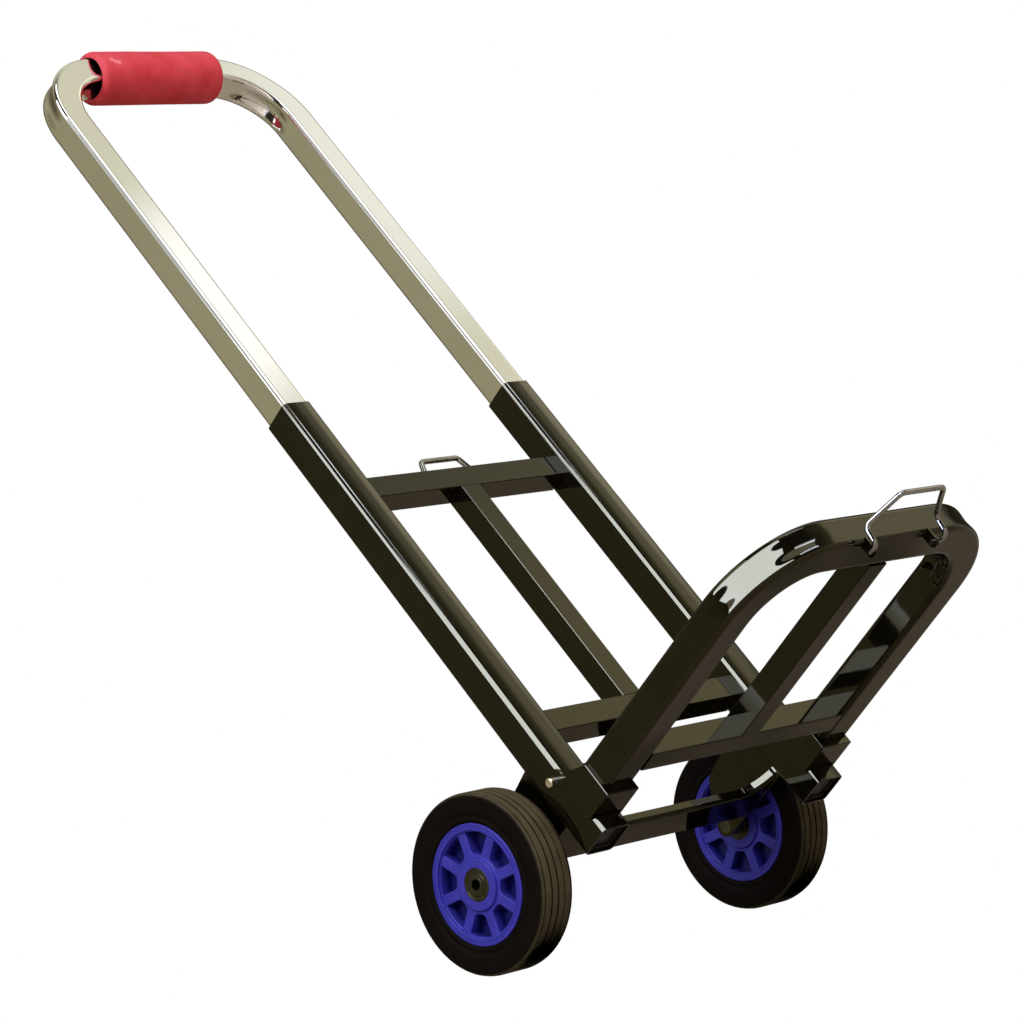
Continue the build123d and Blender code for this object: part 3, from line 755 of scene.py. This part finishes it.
# %% Hubs
def joined_copy(name, source, rule, digits=7):
    """A copy of an imported mesh with equal points joined and moved by a rule; normals are kept."""
    numbers, places, joined = {}, [], []
    for vertex in source.vertices:
        key = tuple(round(c, digits) for c in vertex.co)
        if key not in numbers:
            numbers[key] = len(places)
            places.append(rule(vertex.co))
        joined.append(numbers[key])
    faces, normals = [], []
    for face in source.polygons:
        corners = [joined[index] for index in face.vertices]
        if len(set(corners)) == len(corners):
            faces.append(corners)
            normals += [tuple(source.corner_normals[loop].vector) for loop in face.loop_indices]
    mesh = bpy.data.meshes.new(name)
    mesh.from_pydata(places, [], faces)
    mesh.normals_split_custom_set(normals)
    return add_object(name, mesh)


for side, x in wheels:
    cad_hub = frame["nodes"][f"hub_{side}"].data
    hub = joined_copy(f"spoked_hub_{side}", cad_hub, lambda point: drawn_out(point, x))
    stand_in(hub, f"wheel_{side}", f"hub_{side}", "blue_plastic")

# %% [markdown]
# ## Walls that sink
# When a square tube is bent, its outer wall is stretched and sinks, and its inner wall is squeezed and
# buckles inwards. The construction model has plain bends, so two pieces take the place of its tubes.
# Dents could be sculpted by hand, but a rule is the same on both sides: each dent is a depth that eases
# in and out along the bend. The platform's outer wall stays full between two dents.

# %% Wall rules
def ease(share):
    """A soft step from 0 to 1."""
    share = min(max(share, 0.0), 1.0)
    return share * share * (3 - 2 * share)


def sink(share, dents):
    """How far a wall sinks at a share of the bend, which runs from 0 at the leg to 1, in metres."""
    return sum(
        depth * ease((share - start) / rise) * ease((end - share) / fall)
        for depth, start, rise, end, fall in dents
    )


# Each dent has its depth, its start and how fast it rises, its end and how fast it falls.
handle_outer = [(0.0016, -0.08, 0.30, 1.0, 0.35)]
handle_inner = [(0.0035, -0.13, 0.33, 1.0, 0.75)]
platform_outer = [(0.0008, -0.02, 0.08, 0.34, 0.24), (0.0008, 0.42, 0.24, 1.0, 0.2)]
platform_inner = [(0.0018, -0.13, 0.33, 1.0, 0.75)]
deepest = max(sink(percent / 100, handle_inner) for percent in range(101))
print("the handle's inner wall sinks by up to", round(deepest * 1000, 2), "mm")

# %% [markdown]
# ## The tubes' section
# The section of a square tube is a rectangle with rounded corners. A bevelled square would have its
# points at the corners only, but the two walls that sink need points across their width. So the points
# are listed in order: a corner, a wall, a corner and so on.

# %% Tube section
wall_shares = [share / 100 for share in (-97, -90, -80, -68, -56, -44, -32, -20, -10, 0)]
wall_shares += [-share for share in reversed(wall_shares[:-1])]


def section_ring(half_out, half_flat, corner):
    """Places (outwards, along the flat) round a rectangle with rounded corners."""
    reach_out, reach_flat = half_out - corner, half_flat - corner
    ends = (wall_shares[-1], wall_shares[0])
    places = []
    for quarter, (out, flat) in enumerate(((1, 1), (-1, 1), (-1, -1), (1, -1))):
        places += arc((out * reach_out, flat * reach_flat), corner, 90 * quarter, 90 * quarter + 90)
        if quarter % 2:
            places += [(out * half_out, share * flat * reach_flat) for share in reversed(wall_shares)]
        else:
            places += [(share * out * reach_out, flat * half_flat) for share in ends]
    return places


print("wall points:", len(wall_shares), "across each sinking wall")

# %% [markdown]
# ## The tubes' path
# Both tubes are bent to a U. Curve to Mesh would carry the section along such a path, but its rings don't
# know how far round a bend they lie, which the dents need. So the path is a list of rings in code, close
# together in the bends and in the short run before them, where the dents begin.

# %% Tube path
lead_in = (0.024, 0.016, 0.012, 0.009, 0.006, 0.003, 0.001)


def path_rings(corners, radius, steps=48):
    """Middle, outward direction and share of the bend (0 at the leg) for each ring of a U-shaped path."""
    first, second, third, last = corners
    up, over, near = (second - first).normalized(), (third - second).normalized(), 0.001
    rings = [(first, -over, None)]
    rings += [(second - up * (radius + run), -over, -run / (radius * pi / 2)) for run in lead_in]
    for step in range(steps + 1):
        out = -over * cos(pi * step / steps / 2) + up * sin(pi * step / steps / 2)
        rings.append((second + (over - up + out) * radius, out, step / steps))
    rings += [(second + over * (radius + near), up, None), (third - over * (radius + near), up, None)]
    for step in range(steps + 1):
        out = up * cos(pi * step / steps / 2) + over * sin(pi * step / steps / 2)
        rings.append((third + (out - over - up) * radius, out, 1 - step / steps))
    rings += [(third - up * (radius + run), over, -run / (radius * pi / 2)) for run in reversed(lead_in)]
    return rings + [(last, over, None)]


def u_corners(open_end, closed_end):
    """The corners of a U-shaped path between the two legs, from its ends' places (y, z)."""
    turns = ((-leg_x, open_end), (-leg_x, closed_end), (leg_x, closed_end), (leg_x, open_end))
    return [Vector((x, *end)) for x, end in turns]


print("path helpers ready, dents begin", lead_in[0] * 1000, "mm before a bend")

# %% [markdown]
# ## A bent tube
# A tube has an outer and an inner skin. Solidify could make the second from the first, but it can fold
# over itself in small corners. So both skins are set by the same rules, the inner one inset by the wall,
# and a strip between them closes each open end. The dents die out at the corners of the section.

# %% Bent tube
def span_rings(shape, pairs):
    """Faces between pairs of rings, smooth and pointing outwards."""
    for ring, following in pairs:
        for step, corner in enumerate(ring):
            after = (step + 1) % len(ring)
            shape.faces.new((corner, ring[after], following[after], following[step]))
    bmesh.ops.recalc_face_normals(shape, faces=shape.faces)
    for face in shape.faces:
        face.smooth = True


def tube_skin(shape, path, flat, places, half_wall, outer_dents, inner_dents):
    """The rings of points of one skin, pressed in where the walls sink."""
    skin = []
    for centre, out, share in path:
        sink_out, sink_in = 0.0, 0.0
        if share is not None:
            sink_out, sink_in = sink(share, outer_dents), sink(share, inner_dents)
        ring = []
        for outwards, across in places:
            middle_share = max(0.0, 1 - (across / half_wall) ** 2) ** 2
            press = middle_share * (-sink_out if outwards > 0 else sink_in)
            ring.append(shape.verts.new(centre + out * (outwards + press) + flat * across))
        skin.append(ring)
    return skin


def bent_tube(name, corners, flat, sizes, outer_dents, inner_dents):
    """A hollow tube along a U-shaped path, with walls that sink in the bends."""
    width, depth, corner, wall, radius = sizes
    path, half_wall = path_rings(corners, radius), depth / 2 - corner
    shape = bmesh.new()
    skins = []
    for inset in (0.0, wall):
        places = section_ring(width / 2 - inset, depth / 2 - inset, corner - inset)
        skins.append(tube_skin(shape, path, flat, places, half_wall, outer_dents, inner_dents))
    pairs = [pair for skin in skins for pair in zip(skin, skin[1:])]
    span_rings(shape, pairs + [(skins[0][end], skins[1][end]) for end in (0, -1)])
    return shape_object(name, shape)


print("tube helpers ready")

# %% [markdown]
# ## Round holes
# A button in each leg locks the handle, and needs a round hole in the back wall. The hole could be drawn
# into the wall's faces, but a Boolean modifier with a round cutter is shorter and stays exact.

# %% Round holes
def drill(piece, places, radius, length, sides=48):
    """Round holes through the back wall of a piece, cut by a Boolean modifier."""
    shape = bmesh.new()
    sizes = {"segments": sides, "radius1": radius, "radius2": radius, "depth": length}
    for place in places:
        turn = Matrix.Translation(place) @ Matrix.Rotation(pi / 2, 4, "X")
        bmesh.ops.create_cone(shape, cap_ends=True, matrix=turn, **sizes)
    cutter = shape_object("hole_cutter", shape)
    cut = piece.modifiers.new("holes", "BOOLEAN")
    cut.operation, cut.solver, cut.object = "DIFFERENCE", "EXACT", cutter
    name = piece.name
    piece.name = name + "_uncut"
    drilled = plain_piece(name, piece)
    bpy.data.objects.remove(cutter)
    return drilled


print("drill ready")

# %% [markdown]
# ## The handle tube
# The handle is a tall, slim U that slides in the side tubes. With the helpers it needs only its numbers:
# where its legs end, how high its top bar lies, the sizes of its section, and its dents and holes. An
# angle limit keeps the cut edges sharp and the bends smooth.

# %% Handle tube
tube_crease, tube_y = 40, 0.087925
handle_low, handle_top, lock_height = 0.429, 0.945, 0.449
hole_radius, hole_length, back_wall = 0.00407, 0.006, 0.014
# Sizes are width, depth, corner radius, wall and bend radius.
handle_sizes = (0.0284, 0.0284, 0.004, 0.0012, 0.068)
handle_corners = u_corners((tube_y, handle_low), (tube_y, handle_top))
handle = bent_tube(
    "bent_handle_tube", handle_corners, Vector((0, 1, 0)), handle_sizes, handle_outer, handle_inner
)
lock_places = [(x, tube_y + back_wall, lock_height) for x in (-leg_x, leg_x)]
handle = drill(handle, lock_places, hole_radius, hole_length)
handle.data.set_sharp_from_angle(angle=radians(tube_crease))
stand_in(handle, "handle", "handle_tube", "bright_chrome")

# %% [markdown]
# ## The platform tube
# The platform's tube is the same U laid flat, wider than deep and painted black. Because the path, the
# section and the dents are inputs of one function, it needs only its own numbers. Both new tubes have to
# fill the boxes of the tubes that they stand for, so the cell measures how far the corners are apart.

# %% Platform tube
platform_end, platform_front, platform_height = 0.071625, -0.202575, 0.06175
platform_sizes = (0.032, 0.030, 0.0045, 0.0015, 0.0655)
platform_corners = u_corners((platform_end, platform_height), (platform_front, platform_height))
platform = bent_tube(
    "bent_platform_tube", platform_corners, Vector((0, 0, 1)), platform_sizes, platform_outer, platform_inner
)
platform.data.set_sharp_from_angle(angle=radians(tube_crease))
stand_in(platform, "platform", "platform_tube", "black_paint")

for piece, node in ((handle, "handle_tube"), (platform, "platform_tube")):
    places = [vertex.co for vertex in piece.data.vertices]
    for pick, cad_corner in zip((min, max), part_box(node)):
        corner = Vector([pick(place[axis] for place in places) for axis in range(3)])
        gap = (corner - Vector(cad_corner)).length
        print(piece.name, pick.__name__, "corner is", round(gap * 1000, 2), "mm from that of", node)

# %% [markdown]
# ## Cards for the plating
# Black paint mirrors one part in twenty-five of what it sees, and plating nearly all. A card that draws
# a soft line on paint burns out on plating. Light linking tells each card which pieces it may light. So
# the paint's cards leave the handle out, and the handle gets dimmer cards of its own: white, a grey gap,
# and white again, which draw two lines along each edge. Higher up, the first line fades to grey.

# %% Plating cards
# Each row starts and ends at a turn, lies between two heights, all in degrees, and has a brightness.
plating_rows = [
    (166, 206, 15, 31.0, 1.3), (206, 242, 15, 31.0, 0.30), (242, 300, 15, 31.0, 1.6),
    (166, 194, 31.0, 32.2, 0.85), (194, 248, 31.0, 32.2, 0.36), (248, 300, 31.0, 32.2, 1.6),
    (160, 180, 32.2, 38, 0.60), (180, 253, 32.2, 38, 0.46), (253, 300, 32.2, 38, 1.6),
]
widest_card = 16
plating_cards = []
for start, end, low, high, brightness in plating_rows:
    count = ceil((end - start) / widest_card)
    spread = (end - start) / count
    for number in range(count):
        name = f"plating_card_{len(plating_cards)}"
        turn = start + (number + 0.5) * spread
        plating_cards.append(hang_card(name, turn, spread, low, high, brightness, plain_white))

paint_cards = cards["paint_card"] + cards["high_card"]
links = (("plating", plating_cards, "INCLUDE"), ("all_but_plating", paint_cards, "EXCLUDE"))
for name, linked_cards, state in links:
    receivers = bpy.data.collections.new(name)
    receivers.objects.link(handle)
    receivers.collection_objects[0].light_linking.link_state = state
    for card in linked_cards:
        card.light_linking.receiver_collection = receivers
print(len(plating_cards), "cards for the plating,", len(paint_cards), "for the rest")

# %% [markdown]
# ## The grip's section
# The grip is a foam sleeve pushed over the square top bar, so its round bore touches the bar's four
# corners. It is a turned shape like the tyre, but each of its points will be pressed in on its own. So
# its section is drawn with many points along the skin, and turned in code in the next cell.

# %% Grip section
half_grip, grip_radius, grip_bore, grip_end = 0.073, 0.0249, 0.0188, 0.0062
bore_edge, skin_pitch, skin_points = 0.0008, 0.00162, 40
bore_start, bore_pitch, bore_points = 0.012, 0.0125, 5

rounded_end = arc((half_grip - grip_end, grip_radius - grip_end), grip_end, 0, 90, 10)
skin_run = [(half_grip - grip_end - step * skin_pitch, grip_radius) for step in range(1, skin_points + 1)]
edge = [(half_grip - bore_edge, grip_bore), (half_grip, grip_bore + bore_edge)]
bore_run = [(half_grip - bore_start - step * bore_pitch, grip_bore) for step in range(bore_points)]
section = bore_run[::-1] + edge + rounded_end + skin_run
section += [(-x, radius) for x, radius in reversed(section)]
print("grip section:", len(section), "points")

# %% [markdown]
# ## The foam grip
# Foam is never quite round. A displacement texture could show that, but then the dents would be gone in
# other programs. So the points themselves are pressed in, by slow noise and by a few dents. The stroke with
# its painted highlight and the bore with its painted shade are kept as attributes for the finish.

# %% Grip
grip_middle = Vector((0.0, tube_y, handle_top))
around = 192
# The stroke lies along a shallow crease and carries a pale painted highlight.
stroke_places = ((-0.0600, 0.0630, 0.9435), (-0.0565, 0.0633, 0.9412), (-0.0528, 0.0636, 0.9400))
stroke = [Vector(place) for place in stroke_places]
stroke_spread, skin_margin = 0.0019, 0.002
# Each wave has its height and how close its noise is; each dent its place, its spread and its depth.
waves = ((0.0004, 24), (0.0001, 90))
dents = [(place, 0.0026, 0.0002) for place in stroke]
dents += [(Vector((-0.0264, 0.0657, 0.9337)), 0.0022, 0.0005)]
dents += [(Vector((0.0356, 0.0634, 0.9404)), 0.0026, 0.0005)]


def dent(point, centre, spread):
    """How strongly a dent shows at a point, from 0 to 1."""
    return exp(-(((point - centre).length / spread) ** 2))


shape = bmesh.new()
painted_highlight, bore_shade = [shape.verts.layers.float.new(mark) for mark in foam_painted_light]
rings = []
for x, radius in section:
    ring = []
    for step in range(around):
        turn = 2 * pi * step / around
        out = Vector((0, cos(turn), sin(turn)))
        point = grip_middle + Vector((x, 0, 0)) + out * radius
        press = 0.0
        if radius > grip_bore + skin_margin:
            press = sum(height * (0.5 + 0.5 * noise.noise(point * pace)) for height, pace in waves)
            press += sum(depth * dent(point, centre, spread) for centre, spread, depth in dents)
        vertex = shape.verts.new(point - out * press)
        # Painted highlight, strongest on the stroke.
        vertex[painted_highlight] = max(dent(point, place, stroke_spread) for place in stroke)
        # Painted shade inside the bore.
        vertex[bore_shade] = 1.0 if radius <= grip_bore else 0.0
        ring.append(vertex)
    rings.append(ring)
span_rings(shape, zip(rings, rings[1:] + rings[:1]))
grip = shape_object("foam_grip", shape)
stand_in(grip, "handle", "grip", "red_foam")
